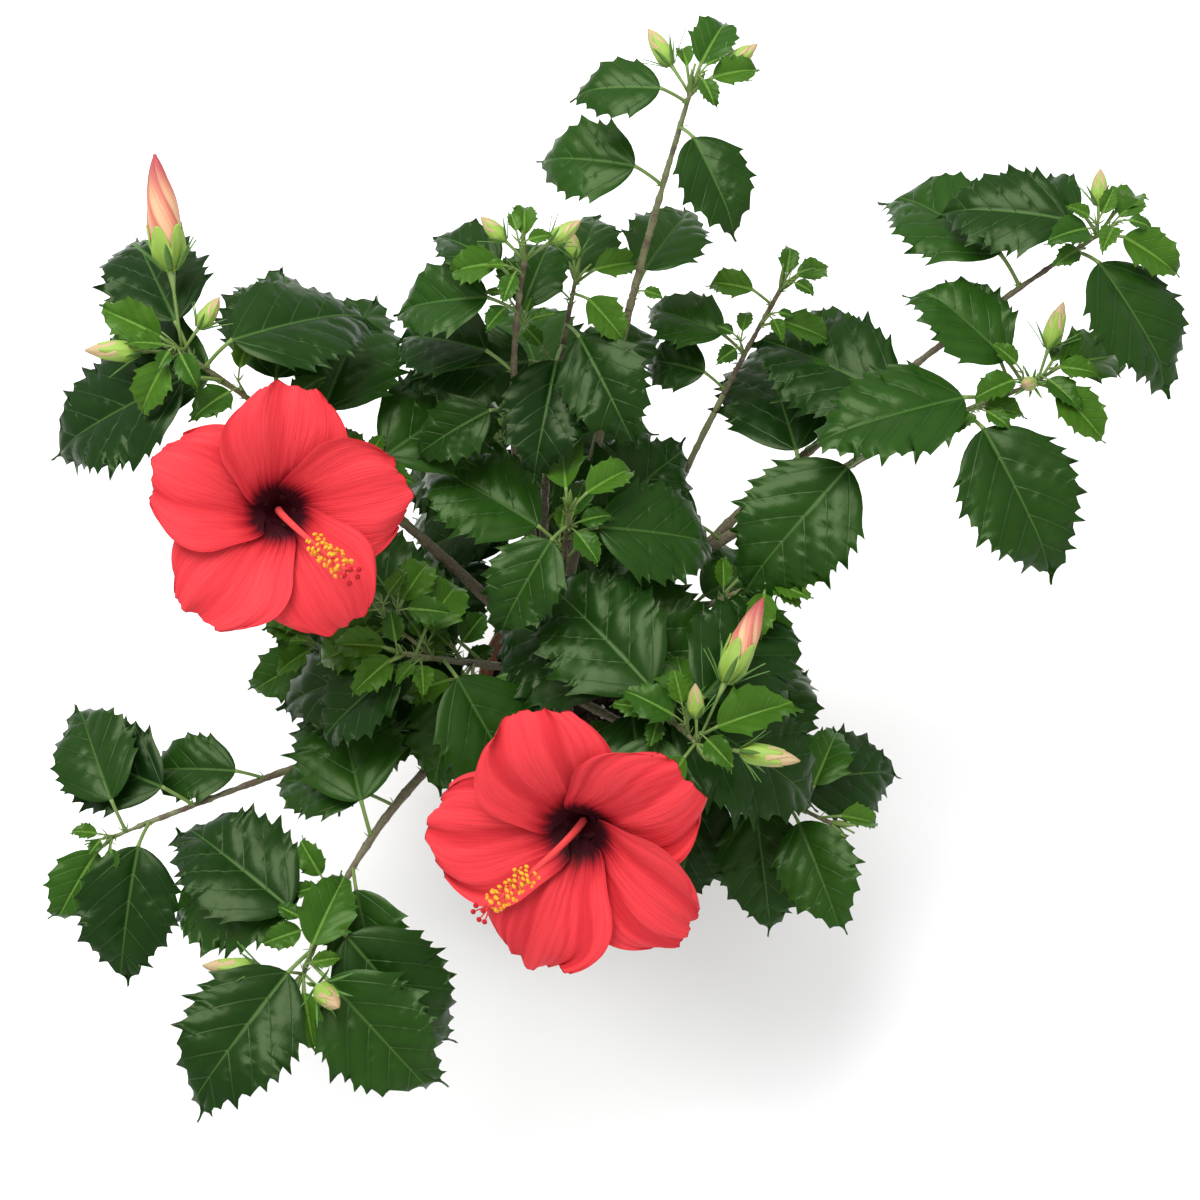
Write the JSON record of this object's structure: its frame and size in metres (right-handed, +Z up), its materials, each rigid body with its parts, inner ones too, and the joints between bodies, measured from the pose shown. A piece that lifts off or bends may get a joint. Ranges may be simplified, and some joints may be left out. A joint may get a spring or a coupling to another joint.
{
  "type": "potted hibiscus shrub",
  "caption": "Young hibiscus shrub with toothed glossy leaves, flower buds and open coral-red blooms, growing from a short trunk in a round plastic nursery pot.",
  "frame": {"origin": "centre of the pot's flat underside, on the floor", "axes": "+Z up along the pot's axis; -Y towards the side that the front bloom leans to; +X to the right of it"},
  "size_m": [0.5596, 0.4686, 0.471],
  "materials": {
    "pot": "satin brown injection-moulded plastic",
    "soil": "dark moist peat and bark mix with pale perlite grains",
    "old_bark": "grey-brown fissured bark",
    "young_bark": "olive-brown smooth bark with pale dots",
    "leaves": "glossy dark green, paler beneath",
    "petals": "thin matt coral-red petals, dark at the throat"
  },
  "bodies": {
    "root": {"bloom_front": "petals", "bloom_left": "petals", "bough_back": "young_bark", "bough_back_left": "young_bark", "bough_back_right": "young_bark", "bough_far_left": "young_bark", "bough_far_right": "young_bark", "bough_front": "young_bark", "bough_front_left": "young_bark", "bough_front_right": "young_bark", "bough_inner_back": "young_bark", "bough_inner_left": "young_bark", "bough_inner_right": "young_bark", "bough_left": "young_bark", "bough_low_back": "young_bark", "bough_low_left": "young_bark", "bough_low_right": "young_bark", "bough_middle": "young_bark", "bough_right": "young_bark", "foliage_back": "leaves", "foliage_back_left": "leaves", "foliage_back_right": "leaves", "foliage_far_left": "leaves", "foliage_far_right": "leaves", "foliage_front": "leaves", "foliage_front_left": "leaves", "foliage_front_right": "leaves", "foliage_inner_back": "leaves", "foliage_inner_left": "leaves", "foliage_inner_right": "leaves", "foliage_left": "leaves", "foliage_low_back": "leaves", "foliage_low_left": "leaves", "foliage_low_right": "leaves", "foliage_middle": "leaves", "foliage_right": "leaves", "pot": "pot", "potting_soil": "soil", "trunk": "old_bark"}
  },
  "joints": []
}
